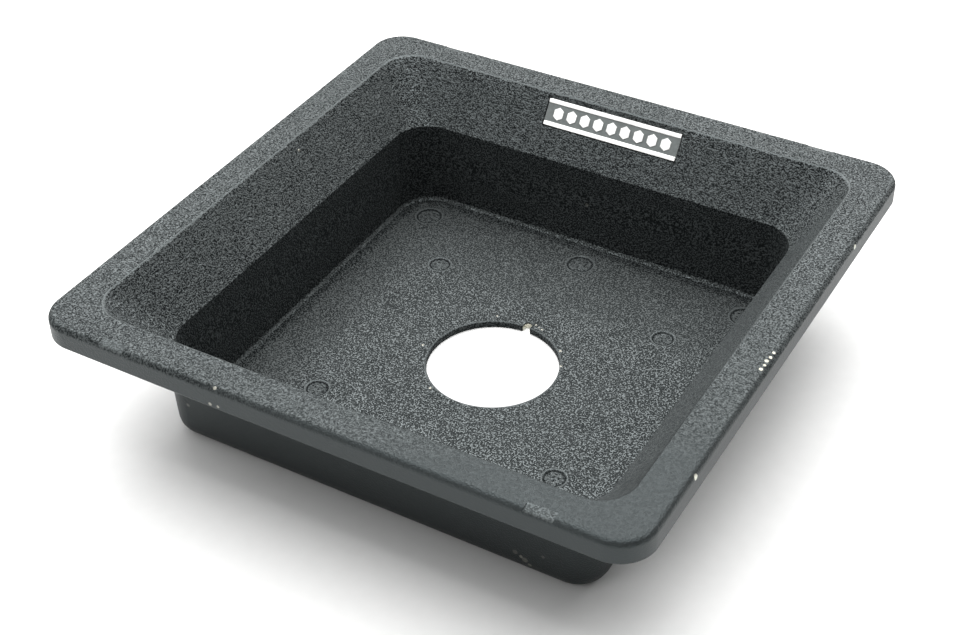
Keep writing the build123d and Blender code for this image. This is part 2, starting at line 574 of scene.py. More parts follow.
    def core(
        self, level: float, grain: float, shell: Shell, shrink: float = 1.0,
        lit_edge: float = 0.0,
    ) -> None:
        """Add the patch between the hole's bevelled edge and the square round it.

        Args:
            level: the patch's height.
            grain: strength of the paint's texture.
            shell: the shell that gets the patch.
            shrink: size of the outer square beside the grid's own.
            lit_edge: how much lighter the paint is at the very edge of the hole, a painted
                highlight.
        """
        outline = self.hole_line()
        size = np.hypot(outline[:, 0], outline[:, 1])[:, None]
        inner = outline * (size + HOLE_BEVEL) / size
        near = outline * (size + HOLE_BEVEL + 0.2) / size
        outer = self.square_ring(self.core_half)[:, :2] * shrink
        share = np.array([0.0, 0.02, 0.12, 0.3, 0.6, 1.0])[:, None, None]
        flat = near[None] * (1 - share) + outer[None] * share
        flat = np.concatenate([inner[None], flat])
        points = np.concatenate([flat, 0 * flat[:, :, :1] + level], axis=-1)
        tone = np.zeros((len(flat), 1))
        # The floor's first rings at the hole get the painted highlight.
        tone[:2] = lit_edge
        strength = np.full((len(flat), 1), grain)
        strength[:2] = 0.2 * grain
        shell.add(points, strength, tone)

    def open_flat(self, level: float, grain: float, shell: Shell, marked: bool) -> None:
        """Add the flat round the core, as a grid with the core's square left out.

        Args:
            level: the flat's height.
            grain: strength of the paint's texture.
            shell: the shell that gets the patches.
            marked: true for the dish's floor, which faces up and has the ejector marks.
        """
        across, up = self.side_lines(True), self.side_lines(False)
        x, y = np.meshgrid(across, up)
        points = np.stack([x, y, 0 * x + level], axis=-1)
        strength, tone, lump = grain + 0 * x, 0 * x, 0 * x
        if marked:
            for mark in self.marks:
                points = self._pressed(points, mark)
                off = np.hypot(points[..., 0] - mark.x, points[..., 1] - mark.y) - mark.radius
                lip = (off > 0.05) & (off < 0.42)
                ring = (off > -0.6) & (off < -0.05)
                disc = off <= -0.6
                # Painted highlight on each mark's lip and painted shade in the sunk ring inside it.
                tone = np.where(lip, Zone.MARK_LIP_HIGHLIGHT.value.tone, tone)
                tone = np.where(ring, Zone.MARK_RING_SHADE.value.tone, tone)
                strength = np.where((off < 0.42) & ~disc, Zone.MARK_RING_SHADE.value.grain, strength)
                strength = np.where(disc, Zone.MARK_DISC.value.grain, strength)
                lump = np.where(disc, 0.55, lump)
        ends = (-self.core_half, self.core_half)
        low_x, high_x = (int(np.argmin(np.abs(across - end))) for end in ends)
        low_y, high_y = (int(np.argmin(np.abs(up - end))) for end in ends)
        low_rows, high_rows = slice(None, low_y + 1), slice(high_y, None)
        rows = slice(low_y, high_y + 1)
        pieces = (low_rows, slice(None)), (high_rows, slice(None)), \
            (rows, slice(None, low_x + 1)), (rows, slice(high_x, None))
        turned = (slice(None), slice(None, None, -1 if marked else 1))
        for piece in pieces:
            shell.add(points[piece][turned], strength[piece][turned], tone[piece][turned], 0.0,
                      lump[piece][turned])

    def _pressed(self, points: np.ndarray, mark: PinMark) -> np.ndarray:
        """Round the grid about one ejector mark and give it its shape.

        In the mark's square block, concentric squares become circles of the same size, up to
        the block's edge. Height is then a function of the distance r from the centre: a low
        lip just outside the mark's radius and a sunk disc inside it.

        Args:
            points: the grid's points.
            mark: the mark.

        Returns:
            The grid with the block's points moved.
        """
        local = (points[..., :2] - (mark.x, mark.y)) / mark.block
        reach = np.abs(local).max(axis=-1)
        size = np.hypot(local[..., 0], local[..., 1])
        circle = np.where(size > 0, reach / np.maximum(size, 1e-9), 1.0)
        blend = np.clip((reach - 0.945) / 0.055, 0, 1)
        factor = circle * (1 - blend) + blend
        inside = reach < 1.0 - 1e-9
        moved = points.copy()
        for axis, middle in enumerate((mark.x, mark.y)):
            round_place = middle + local[..., axis] * factor * mark.block
            moved[..., axis] = np.where(inside, round_place, points[..., axis])
        r = np.hypot(moved[..., 0] - mark.x, moved[..., 1] - mark.y)
        lip = 0.10 * np.exp(-((r - mark.radius - 0.25) / 0.16) ** 2)
        sunk = -MARK_DEPTH / (1 + np.exp((r - mark.radius + 0.12) / 0.05))
        moved[..., 2] = points[..., 2] + np.where(inside, lip + sunk, 0.0)
        return moved

    def on_flats(self, rows: np.ndarray) -> np.ndarray:
        """Find the points over the rim's filed flats.

        Args:
            rows: rings by points by three.

        Returns:
            True for each point of the rim's front that lies in a flat's outline.
        """
        x, y, z = np.abs(rows[..., 0]), np.abs(rows[..., 1]), rows[..., 2]
        low, high = self.flat_ends
        return (x > low) & (x < high) & (y > self.flat_inner) & (z > self.depth - 1.0)

    def cut_front(self, rows: np.ndarray) -> np.ndarray:
        """File the rim's flats and sink the nameplate's pocket.

        Both are open upwards, so a point inside one's outline drops to its floor and any
        other stays. A flat goes down evenly to the rim's side, and the pocket's floor follows
        the slope.

        Args:
            rows: rings by points by three.

        Returns:
            The same points with the cuts made.
        """
        x, y, z = rows[..., 0], rows[..., 1], rows[..., 2]
        share = (np.abs(y) - self.flat_inner) / (self.rim_half - self.flat_inner)
        filed = self.depth - self.flat_drop * share
        cut = np.where(self.on_flats(rows), filed, np.inf)
        start_y = self.mouth_half + self.pocket_depth * sin(self.slope)
        start_z = self.depth - self.pocket_depth * cos(self.slope)
        pocket_floor = start_z + (y - start_y) * tan(self.slope)
        in_pocket = (np.abs(x) < self.pocket_half) & (y > self.pocket_low) & (y < self.pocket_high)
        cut = np.where(in_pocket & (z > self.depth / 2), pocket_floor, cut)
        result = rows.copy()
        result[..., 2] = np.minimum(z, cut)
        return result

    def build(self) -> bpy.types.Object:
        """Make the board's mesh.

        Returns:
            One closed object: floor, walls, rim, outer box, back and the hole's wall.
        """
        shell = Shell()
        self.core(self.floor, self.texture, shell, lit_edge=0.6)
        self.open_flat(self.floor, self.texture, shell, marked=True)
        rings = self.section()
        rows = self.cut_front(self.ring(rings[:, 0], rings[:, 1], rings[:, 2]))
        first = self.square_ring(self.field_half)[None]
        last = first * (BACK_SHRINK, BACK_SHRINK, 0)
        grain, tone = self.ring_paint(rings)
        thin = Zone.OUTSIDE.value.grain
        grain = np.concatenate([[self.texture], grain, [thin]])[:, None]
        tone = np.concatenate([[0.0], tone, [0.0]])[:, None]
        rows = np.concatenate([first, rows, last])
        filed = self.on_flats(rows)
        kept = self.handling(rows)
        lump = np.maximum(grain - thin, 0) * self.lump * (0.7 + 0.3 * kept)
        grain = np.where(filed, Zone.FILED_FLAT.value.grain, grain * kept)
        on_land = rows[..., 2] > self.depth - self.land_skin
        tone = tone - 0.22 * (1 - kept) + np.where(on_land, 0.03, 0.0)
        tone = np.where(filed, Zone.FILED_FLAT.value.tone, tone)
        shell.add(rows, grain, tone, 0.0, np.where(filed, 0.1, lump))
        self.back(shell)
        self.hole_wall(shell)
        return shell.object("board_casting_painted")

    def section(self) -> np.ndarray:
        """Work out the section's rings, from the floor's edge round to the back.

        Returns:
            One row per ring: half side, level and half of the straight part of a side.
        """
        under = self.depth - self.rim_thickness
        floor_straight = self.floor_half - self.dish_corner
        back_straight = self.box_back_half - self.box_corner
        margin = 0.2
        land = self.flat_inner - margin
        run = SectionRun((
            Corner(self.floor_half - 1.6, self.floor, floor_straight),
            Corner(self.floor_half, self.floor, floor_straight, self.floor_round),
            Corner(self.foot_half, self.depth - self.foot_drop,
                   self.foot_half - self.dish_corner, 0.3),
            Corner(self.mouth_half, self.depth, self.mouth_half - self.mouth_corner,
                   self.mouth_round),
            Corner(land, self.depth, self.rim_straight),
            Corner(self.rim_half, self.depth, self.rim_straight, self.rim_round),
            Corner(self.rim_half, under, self.rim_straight, self.rim_low_round),
            Corner(self.neck_half, under, self.neck_half - self.neck_corner, 0.8),
            Corner(self.box_top_half, self.box_top, self.box_top_half - self.box_corner, 1.5),
            Corner(self.box_back_half, 0.0, back_straight, self.box_round),
            Corner(self.box_back_half - 4.6, 0.0, back_straight),
        ))
        walls = [self.pocket_low, self.pocket_high]
        slope_run = self.mouth_half - self.foot_half
        pocket = tuple((w + d - self.foot_half) / slope_run
                       for w in walls for d in (-WALL_GAP, WALL_GAP))
        filed = tuple((margin + d) / (self.rim_half - land) for d in (-WALL_GAP, WALL_GAP))
        return run.rings({2: pocket, 4: filed})

    def ring_paint(self, rings: np.ndarray) -> tuple[np.ndarray, np.ndarray]:
        """Say how the paint lies on each ring of the section.

        Args:
            rings: half side, level and straight part of each ring.

        Returns:
            The grain and the tone of each ring. The mouth's rounded edge and the lower edge of
            the rim's side get a painted highlight, and the rim's outer rounding is a dark line of
            painted shade.
        """
        half, level = rings[:, 0], rings[:, 1]
        top = self.depth
        outside = np.maximum.accumulate((half > self.rim_half - 0.9) & (level < top - 0.2))
        under = np.maximum.accumulate(outside & (half < self.rim_half - 0.4) & (level < top - 3))
        # The steep walls, darkened with painted shade.
        steep = ~outside & (level < top - self.foot_drop - 0.2)
        # Painted highlight along the floor's fillet at the foot of the walls.
        fillet = ~outside & (level > self.floor + 0.1) & (level < self.floor + 1.0)
        # Painted highlight on the mouth's rounded edge.
        mouth = ~outside & (level > top - 0.34) & (np.abs(half - self.mouth_half) < 0.22)
        # Painted shade: a dark line on the rim's outer rounding.
        rounding = outside & ~under & (level > top - 1.5)
        # Painted highlight along the lower edge of the rim's side.
        low_edge = outside & (level < top - self.rim_thickness + 0.35)
        low_edge &= half > self.rim_half - 0.4
        places = {
            Zone.STEEP_WALL_SHADE: steep, Zone.FLOOR_EDGE_HIGHLIGHT: fillet, Zone.MOUTH_EDGE_HIGHLIGHT: mouth,
            Zone.OUTSIDE: outside, Zone.RIM_ROUNDING_SHADE: rounding, Zone.RIM_LOW_EDGE_HIGHLIGHT: low_edge,
        }
        grain = np.full(len(half), self.texture)
        tone = np.zeros(len(half))
        for zone, here in places.items():
            grain[here], tone[here] = zone.value.grain, zone.value.tone
        return grain, tone

    def handling(self, rows: np.ndarray) -> np.ndarray:
        """Say how much of the texture's height is left on the rim and the slopes.

        The corner between +X and -Y, the rim's land and the +Y slope are rubbed smoother by
        handling. Towards that corner the rubbing sets in at 0.15 of corner_reach and is full at
        three quarters of it.

        Args:
            rows: rings by points by three.

        Returns:
            A factor for each point's grain.
        """
        x, y, z = rows[..., 0], rows[..., 1], rows[..., 2]
        towards = (0.51 * x - 0.86 * y) / self.corner_reach
        corner = 1 - 0.74 * np.clip((towards - 0.15) / 0.6, 0, 1)
        far_slope = (y > self.foot_half - 1) & (z < self.depth - 0.5)
        far_slope &= np.abs(x) < self.foot_half
        corner = np.where(z > self.depth - self.land_skin, 0.84, 1.0) * corner
        factor = np.where(far_slope, 0.72, corner)
        return np.where(z > self.depth - self.foot_drop, factor, 1.0)

    def back(self, shell: Shell) -> None:
        """Add the flat back face.

        Its grid is the floor's, shrunk so that its square fits inside the rounded corners of
        the back edge. The core keeps its size at the hole.

        Args:
            shell: the shell that gets the patches.
        """
        thin = Zone.OUTSIDE.value.grain
        flat = Shell()
        self.open_flat(0.0, thin, flat, marked=False)
        for patch in flat.patches:
            shell.add(patch * (BACK_SHRINK, BACK_SHRINK, 1.0), thin)
        ring = Shell()
        self.core(0.0, thin, ring, shrink=BACK_SHRINK)
        shell.add(ring.patches[0][:, ::-1], thin)

    def hole_wall(self, shell: Shell) -> None:
        """Add the wall of the shutter hole, with a small bevel at each edge.

        The wall's colour is darkened with painted shade and its upper edge gets a painted
        highlight.
        The key slot's sides are bare metal below their top half millimetre.

        Args:
            shell: the shell that gets the patch.
        """
        outline = self.hole_line()
        size = np.hypot(outline[:, 0], outline[:, 1])[None, :]
        out = np.array([HOLE_BEVEL, 0.0, 0.0, 0.0, 0.0, 0.0, HOLE_BEVEL])[:, None]
        top = self.floor
        level = np.array([0.0, HOLE_BEVEL, 0.2, top - 0.5, top - 0.4, top - HOLE_BEVEL, top])
        level = level[:, None]
        factor = (size + out) / size
        rows = np.stack([outline[None, :, 0] * factor, outline[None, :, 1] * factor,
                         level + 0 * factor], axis=-1)
        slot = np.hypot(outline[:, 0], outline[:, 1]) > self.hole_radius + 0.02
        # Painted shade down the wall and a painted highlight on its upper bevel.
        tone = np.array([0.0, -0.4, -0.4, -0.4, -0.4, -0.4, 0.6])[:, None]
        unpainted = np.array([1.0, 1.0, 1.0, 1.0, 0.0, 0.0, 0.0])[:, None]
        shell.add(rows, 0.3, tone, slot[None, :] * unpainted)


# ------------------------------------------------------------------ the nameplate


def rounded_polygon(corners: np.ndarray, radius: float, steps: int = 4) -> np.ndarray:
    """Round the corners of a convex polygon.

    Each corner becomes points on the circle that touches both of its sides. The circle's
    centre is on the corner's bisector, and the points turn evenly from one side to the next.

    Args:
        corners: the polygon's corners by two, anticlockwise.
        radius: the rounding's radius.
        steps: parts in each arc.

    Returns:
        The outline's points by two, with the first repeated at the end.
    """
    before = np.roll(corners, 1, axis=0) - corners
    after = np.roll(corners, -1, axis=0) - corners
    before /= np.linalg.norm(before, axis=1, keepdims=True)
    after /= np.linalg.norm(after, axis=1, keepdims=True)
    bisector = before + after
    bisector /= np.linalg.norm(bisector, axis=1, keepdims=True)
    half = np.arccos(np.clip((before * bisector).sum(axis=1), -1, 1))
    centre = corners + bisector * (radius / np.sin(half))[:, None]
    outward = np.arctan2(-bisector[:, 1], -bisector[:, 0])
    swing = pi / 2 - half
    share = np.linspace(-1, 1, steps + 1)[None, :]
    angle = outward[:, None] + swing[:, None] * share
    arc = centre[:, None, :] + radius * np.stack([np.cos(angle), np.sin(angle)], axis=-1)
    outline = arc.reshape(-1, 2)
    return np.concatenate([outline, outline[:1]])


def raised_form(outline: np.ndarray, low: float, high: float, bevel: float) -> np.ndarray:
    """Raise an outline into a closed form with a rounded upper edge.

    The rings go from the middle of the underside, up the side, round a quarter circle of the
    bevel's radius, and in to the middle of the top. A ring is moved in by shrinking it about
    the middle, along each axis by that distance.

    Args:
        outline: closed outline, points by two.
        low: height of the underside.
        high: height of the top.
        bevel: radius of the upper edge.

    Returns:
        Rings by points by three.
    """
    middle = (outline.max(axis=0) + outline.min(axis=0)) / 2
    half = (outline.max(axis=0) - outline.min(axis=0)) / 2
    turn = np.linspace(0, pi / 2, 4)
    rounding = bevel * (1 - np.cos(turn))
    inset = np.concatenate([[half.max(), 0.0], rounding, [2.5 * bevel, half.max()]])
    level = np.concatenate([[low, low], high - bevel + bevel * np.sin(turn), [high, high]])
    scale = np.clip(1 - inset[:, None] / half[None, :], 0, 1)
    flat = middle + (outline - middle)[None] * scale[:, None, :]
    height = np.broadcast_to(level[:, None, None], flat.shape[:2] + (1,))
    return np.concatenate([flat, height], axis=-1)[:, ::-1]


@dataclass
class Nameplate:
    """A thin metal plate glued in the pocket of the sloped wall, in millimetres."""

    board: BoardCasting
    length: float = 40.4
    width: float = 7.6
    base: float = 0.45
    relief: float = 0.35
    glue: float = 0.1
    start: float = 1.75
    bar: float = 1.25
    enamel: float = 0.22
    pips: int = 9
    pip_pitch: float = 4.1
    pip_width: float = 2.9
    pip_height: float = 3.7
    pip_shoulder: float = 0.95

    def placed(self, points: np.ndarray) -> np.ndarray:
        """Lay points of the plate's own plane on the sloped wall.

        Args:
            points: rows by columns by three: along the plate, up the slope from the plate's
                centre line, and above the wall's face.

        Returns:
            The points in the board's frame.
        """
        slope = self.board.slope
        down = self.start + self.width / 2 - points[..., 1]
        y = self.board.mouth_half - down * cos(slope) - points[..., 2] * sin(slope)
        z = self.board.depth - down * sin(slope) + points[..., 2] * cos(slope)
        return np.stack([points[..., 0], y, z], axis=-1)

    def bar_outline(self, middle: float, half_x: float, half_y: float, radius: float) -> np.ndarray:
        """Give a long rounded outline.

        Args:
            middle: its centre, up the slope.
            half_x: half of its length.
            half_y: half of its width.
            radius: radius of its corners.

        Returns:
            The closed outline.
        """
        signs = np.array([(-1, -1), (1, -1), (1, 1), (-1, 1)])
        return rounded_polygon(signs * (half_x, half_y) + (0, middle), radius)

    def metal(self) -> bpy.types.Object:
        """Make the plate: its base, a bar along each long edge and a row of hexagons.

        Returns:
            The object.
        """
        shell = Shell()
        under = -(self.base + self.relief)
        whole = self.bar_outline(0, self.length / 2, self.width / 2, 0.35)
        shell.add(self.placed(raised_form(whole, under, under + self.base, 0.05)))
        for side in (-1, 1):
            middle = side * (self.width - self.bar) / 2
            outline = self.bar_outline(middle, self.length / 2, self.bar / 2, 0.3)
            shell.add(self.placed(raised_form(outline, under, 0.0, 0.12)))
        half, tip, shoulder = self.pip_width / 2, self.pip_height / 2, self.pip_shoulder
        shape = np.array([(-half, shoulder), (-half, -shoulder), (0, -tip), (half, -shoulder),
                          (half, shoulder), (0, tip)])
        for number in range(self.pips):
            place = (number - (self.pips - 1) / 2) * self.pip_pitch
            outline = rounded_polygon(shape, 0.12) + (place, 0)
            shell.add(self.placed(raised_form(outline, under, 0.0, 0.08)))
        return shell.object("nameplate_plate_stamped")

    def fill(self) -> bpy.types.Object:
        """Make the enamel that fills the sunk field between the bars.

        Returns:
            The object.
        """
        shell = Shell()
        low = -self.relief - 0.02
        outline = self.bar_outline(0, self.length / 2 - 0.05, self.width / 2 - self.bar * 0.6, 0.1)
        shell.add(self.placed(raised_form(outline, low, low + self.enamel, 0.03)))
        return shell.object("nameplate_enamel_fill")

    def film(self) -> bpy.types.Object:
        """Make the glue between the plate and the pocket.

        Returns:
            The object.
        """
        shell = Shell()
        low = -(self.base + self.relief + self.glue)
        outline = self.bar_outline(0, self.length / 2 - 0.4, self.width / 2 - 0.4, 0.5)
        shell.add(self.placed(raised_form(outline, low, low + self.glue, 0.03)))
        return shell.object("nameplate_adhesive_film")


# ------------------------------------------------------------------ finishes


class Texture(Enum):
    """Sizes of the paint's texture, in millimetres from one bump to the next."""

    CRINKLE = 0.40
    LUMP = 0.85
    MOTTLE = 9.0


@dataclass(frozen=True)
class Chip:
    """A spot where the paint is chipped or rubbed, in millimetres."""

    x: float
    y: float
    z: float
    radius: float
    share: float = 1.0


CHIPS = (
    # Along the rim's +X edge.
    Chip(79.0, 41.9, 40.1, 0.5),
    Chip(78.9, -52.1, 40.4, 0.55),
    Chip(77.5, -14.2, 41.5, 0.36),
    Chip(77.7, -12.5, 41.5, 0.3),
    Chip(77.5, -10.9, 41.5, 0.38),
    Chip(77.8, -9.3, 41.5, 0.34),
    Chip(77.8, -7.4, 41.4, 0.3),
    # On the rim's -Y side.
    Chip(-26.0, -78.4, 41.2, 0.35, 0.5),
    Chip(-27.5, -79.0, 36.3, 0.35, 0.4),
    Chip(-25.3, -79.0, 36.4, 0.30, 0.4),
    # Scuffs on the outer box.
    Chip(40.1, -60.1, 6.0, 0.5, 0.1),
    Chip(41.6, -60.1, 5.2, 0.35, 0.3),
    Chip(42.6, -60.1, 4.6, 0.6, 0.14),
    Chip(43.8, -59.9, 3.5, 0.4, 0.2),
    Chip(47.3, -60.2, 8.0, 0.35, 0.1),
    Chip(-51.8, -60.3, 11.5, 0.4, 0.12),
    # Round the shutter hole, rubbed by the shutter.
    Chip(-19.9, -2.4, 1.9, 0.28, 0.7),
    Chip(-8.8, 17.9, 1.9, 0.22, 0.7),
    Chip(13.1, 12.9, 1.9, 0.28, 0.8),
    Chip(16.2, 7.5, 1.9, 0.25, 0.7),
    Chip(-9.1, -16.5, 1.9, 0.28, 0.7),
    Chip(2.3, 19.5, 1.9, 0.25, 0.7),
    Chip(3.6, 18.9, 1.9, 0.2, 0.6),
    Chip(4.6, 18.5, 1.9, 0.25, 0.7),
    # On the dish's walls.
    Chip(-67.8, 14.5, 38.7, 0.3, 0.6),
    Chip(-3.0, 59.0, 15.4, 0.4, 0.12),
)


@dataclass(frozen=True)
class WrinklePaint:
    """Black fine-texture stove enamel over a die casting.

    The paint is nearly black. Its rounded crests catch the soft boxes and its creases stay in
    their own shade, so a flat that faces the light is a lively grey and a wall that turns away
    is almost black. This light and shade is also painted into the colour, which runs from black
    in the creases, a painted shade, to grey on the crests, a painted highlight. The outside of
    the dish has the same paint put on thin, and is smoother.
    The real crinkle is about 0.3 mm across, and is drawn a little coarser so that it shows.
    """

    name: str = "textured black stove enamel on cast aluminium"
    # The crest colour is a painted highlight and the crease colour painted shade.
    crest: str = "#626666"
    crease: str = "#000000"
    smooth: str = "#232525"
    metal: str = "#d6d3c6"
    cool: str = "#e9fbff"
    shine: float = 0.08
    dull: float = 1.0
    satin: float = 0.46
    ior: float = 1.45
    bump_mm: float = 1.5
    edge: float = 0.115
    cell: float = Texture.CRINKLE.value
    chips: tuple[Chip, ...] = CHIPS

    def noise(self, tree: bpy.types.NodeTree, place: bpy.types.NodeSocket, cell: float,
              edge: float) -> bpy.types.NodeSocket:
        """Add a noise field from minus a half to a half.

        Args:
            tree: the material's tree.
            place: the coordinates.
            cell: size from one bump to the next, in millimetres.
            edge: half of the span of raw noise that is spread over the whole range.

        Returns:
            The field's socket.
        """
        raw = add_node(tree, "ShaderNodeTexNoise", {"Scale": 1 / (cell * MM), "Detail": 0.0},
                       {"Vector": place})
        return add_node(
            tree, "ShaderNodeMapRange",
            {"From Min": 0.5 - edge, "From Max": 0.5 + edge, "To Min": -0.5, "To Max": 0.5},
            {"Value": raw.outputs["Fac"]}).outputs["Result"]

    def chipped(self, tree: bpy.types.NodeTree, place: bpy.types.NodeSocket,
                start: bpy.types.NodeSocket) -> bpy.types.NodeSocket:
        """Add the chips to the share of bare metal.

        Args:
            tree: the material's tree.
            place: the coordinates.
            start: the share of bare metal without the chips.

        Returns:
            The share with them. Each is full inside its radius and gone at one and a half.
        """
        total = start
        for chip in self.chips:
            centre = (chip.x * MM, chip.y * MM, chip.z * MM)
            gap = add_node(tree, "ShaderNodeVectorMath", {1: centre}, {0: place},
                           operation="DISTANCE").outputs["Value"]
            inside = add_node(
                tree, "ShaderNodeMapRange",
                {"From Min": chip.radius * MM, "From Max": 1.5 * chip.radius * MM,
                 "To Min": chip.share, "To Max": 0.0}, {"Value": gap}).outputs["Result"]
            total = add_node(tree, "ShaderNodeMath", {}, {0: total, 1: inside},
                             operation="MAXIMUM").outputs[0]
        return total

    def make(self) -> bpy.types.Material:
        """Build the material.

        Returns:
            The material.
        """
        material, tree = new_material(self.name)

        def combine(kind: str, first: bpy.types.NodeSocket,
                    second: bpy.types.NodeSocket | float) -> bpy.types.NodeSocket:
            """Add one sum or product of two values."""
            plain = isinstance(second, float)
            return add_node(tree, "ShaderNodeMath", {1: second} if plain else {},
                            {0: first} if plain else {0: first, 1: second},
                            operation=kind).outputs[0]

        def between(share: bpy.types.NodeSocket, low: bpy.types.NodeSocket | tuple,
                    high: bpy.types.NodeSocket | tuple) -> bpy.types.NodeSocket:
            """Add a blend of two colours."""
            ends = {6: low, 7: high}
            plain = {k: v for k, v in ends.items() if isinstance(v, tuple)}
            linked = {k: v for k, v in ends.items() if not isinstance(v, tuple)}
            return add_node(tree, "ShaderNodeMix", plain, {0: share, **linked},
                            data_type="RGBA").outputs[2]

        place = add_node(tree, "ShaderNodeTexCoord").outputs["Object"]
        paint = add_node(tree, "ShaderNodeAttribute", attribute_name="paint")
        figures = add_node(tree, "ShaderNodeSeparateXYZ", {}, {0: paint.outputs["Vector"]})
        grain, tone = figures.outputs[0], figures.outputs[1]
        bare = self.chipped(tree, place, figures.outputs[2])
        crinkle = self.noise(tree, place, self.cell, self.edge)
        lumps = self.noise(tree, place, Texture.LUMP.value, 0.16)
        lumps = combine("MULTIPLY", lumps, paint.outputs["Alpha"])
        mottle = combine("MULTIPLY", self.noise(tree, place, Texture.MOTTLE.value, 0.3), 0.08)
        height = combine("ADD", combine("MULTIPLY", crinkle, grain), lumps)
        # Painted light and shade: the texture's height and each zone's tone blend the colour from
        # the black of the creases to the grey of the crests.
        lit = combine("ADD", combine("ADD", height, combine("MULTIPLY", mottle, grain)), tone)
        share = add_node(tree, "ShaderNodeMath", {1: 0.5}, {0: lit}, operation="ADD",
                         use_clamp=True).outputs[0]
        enamel = between(share, linear(self.crease), linear(self.crest))
        thin = add_node(
            tree, "ShaderNodeMapRange",
            {"From Min": 0.14, "From Max": 0.25, "To Min": 1.0, "To Max": 0.0},
            {"Value": grain}).outputs["Result"]
        colour = between(bare, between(thin, enamel, linear(self.smooth)), linear(self.metal))
        rough = add_node(
            tree, "ShaderNodeMapRange", {"To Min": self.dull, "To Max": self.shine},
            {"Value": share}).outputs["Result"]
        covered = add_node(tree, "ShaderNodeMath", {}, {0: thin, 1: bare}, operation="MAXIMUM")
        rough = add_node(tree, "ShaderNodeMix", {3: self.satin},
                         {0: covered.outputs[0], 2: rough}, data_type="FLOAT").outputs[0]
        bump = add_node(tree, "ShaderNodeBump",
                        {"Strength": 1.0, "Distance": 2 * self.edge * self.bump_mm * MM},
                        {"Height": height}).outputs["Normal"]
        shader = add_node(
            tree, "ShaderNodeBsdfPrincipled",
            {"IOR": self.ior, "Specular Tint": linear(self.cool)},
            {"Base Color": colour, "Roughness": rough, "Normal": bump, "Metallic": bare})
        add_node(tree, "ShaderNodeOutputMaterial", {}, {"Surface": shader.outputs[0]})
        return material


def spread_noise(
    tree: bpy.types.NodeTree, size_mm: tuple[float, float, float], low: float, high: float,
) -> bpy.types.NodeSocket:
    """Add a noise field over the piece's own coordinates.

    Args:
        tree: the material's tree.
        size_mm: size from one bump to the next along each axis, in millimetres.
        low: the value given in the field's hollows.
        high: the value given on its bumps.

    Returns:
        The field's socket.
    """
    place = add_node(tree, "ShaderNodeTexCoord").outputs["Object"]
    spread = add_node(tree, "ShaderNodeVectorMath", {1: tuple(1 / (s * MM) for s in size_mm)},
                      {0: place}, operation="MULTIPLY").outputs["Vector"]
    raw = add_node(tree, "ShaderNodeTexNoise", {"Scale": 1.0, "Detail": 2.0}, {"Vector": spread})
    return add_node(
        tree, "ShaderNodeMapRange",
        {"From Min": 0.3, "From Max": 0.7, "To Min": low, "To Max": high},
        {"Value": raw.outputs["Fac"]}).outputs["Result"]


@dataclass(frozen=True)
class UnevenFinish:
    """A plain finish with a fine uneven surface.

    The unevenness moves the colour between two near shades, the roughness between two values
    and the surface up and down by a small height.
    """

    name: str
    dark: str
    light: str
    smooth: float
    rough: float
    grain_mm: tuple[float, float, float]
    height_mm: float
    metallic: float
    ior: float

    def make(self) -> bpy.types.Material:
        """Build the material.

        Returns:
            The material.
        """
        material, tree = new_material(self.name)
        field = spread_noise(tree, self.grain_mm, 0.0, 1.0)
        colour = add_node(
            tree, "ShaderNodeMix", {6: linear(self.dark), 7: linear(self.light)}, {0: field},
            data_type="RGBA").outputs[2]
        rough = add_node(tree, "ShaderNodeMapRange", {"To Min": self.rough, "To Max": self.smooth},
                         {"Value": field}).outputs["Result"]
        bump = add_node(tree, "ShaderNodeBump",
                        {"Strength": 1.0, "Distance": self.height_mm * MM},
                        {"Height": field}).outputs["Normal"]
        shader = add_node(
            tree, "ShaderNodeBsdfPrincipled", {"Metallic": self.metallic, "IOR": self.ior},
            {"Base Color": colour, "Roughness": rough, "Normal": bump})
        add_node(tree, "ShaderNodeOutputMaterial", {}, {"Surface": shader.outputs[0]})
        return material


@dataclass(frozen=True)
class BrightPlate(UnevenFinish):
    """Stamped aluminium plate with a bright satin face.

    It mirrors the pale room in a soft way, so it looks almost white. Its fine brushing runs
    along the plate. The real lines are some 0.05 mm apart, and are drawn at 0.25 mm.
    """

    name: str = "bright satin aluminium plate"
    dark: str = "#ededeb"
    light: str = "#f8f8f6"
    smooth: float = 0.30
    rough: float = 0.40
    grain_mm: tuple[float, float, float] = (6.0, 0.25, 0.25)
    height_mm: float = 0.004
    metallic: float = 1.0
    ior: float = 1.44


@dataclass(frozen=True)
class GreyEnamel(UnevenFinish):
    """Grey stoved enamel run into the sunk field of the plate.

    It has a soft shine with a slight orange peel, and is lighter than the paint round it.
    """

    name: str = "grey stoved enamel"
    dark: str = "#666c6b"
    light: str = "#6f7574"
    smooth: float = 0.30
    rough: float = 0.42
    grain_mm: tuple[float, float, float] = (1.1, 1.1, 1.1)
    height_mm: float = 0.012
    metallic: float = 0.0
    ior: float = 1.5


@dataclass(frozen=True)
class TransferGlue(UnevenFinish):
    """Amber transfer adhesive, a thin soft film that hardly shows at the plate's edge."""

    name: str = "amber transfer adhesive"
    dark: str = "#a88c55"
    light: str = "#bda36d"
    smooth: float = 0.5
    rough: float = 0.7
    grain_mm: tuple[float, float, float] = (0.8, 0.8, 0.8)
    height_mm: float = 0.01
    metallic: float = 0.0
    ior: float = 1.48


@dataclass(frozen=True)
class TableTop(UnevenFinish):
    """Matt white table laminate, an even pale ground with a faint orange peel."""

    name: str = "matt white table laminate"
    dark: str = "#f4f4f3"
    light: str = "#f6f6f5"
    smooth: float = 0.86
    rough: float = 0.94
    grain_mm: tuple[float, float, float] = (4.0, 4.0, 4.0)
    height_mm: float = 0.01
    metallic: float = 0.0
    ior: float = 1.45


# ------------------------------------------------------------------ the studio


@dataclass(frozen=True)
class SoftBox:
    """One rectangular soft box, in metres and degrees.

    The bearing is turned from +X towards +Y, and the rise is up from the table. The glow is the
    radiance of its face, beside a white table in full light at about one.
    """

    name: str
    bearing: float
    rise: float
    distance: float
    width: float
    height: float
    glow: float


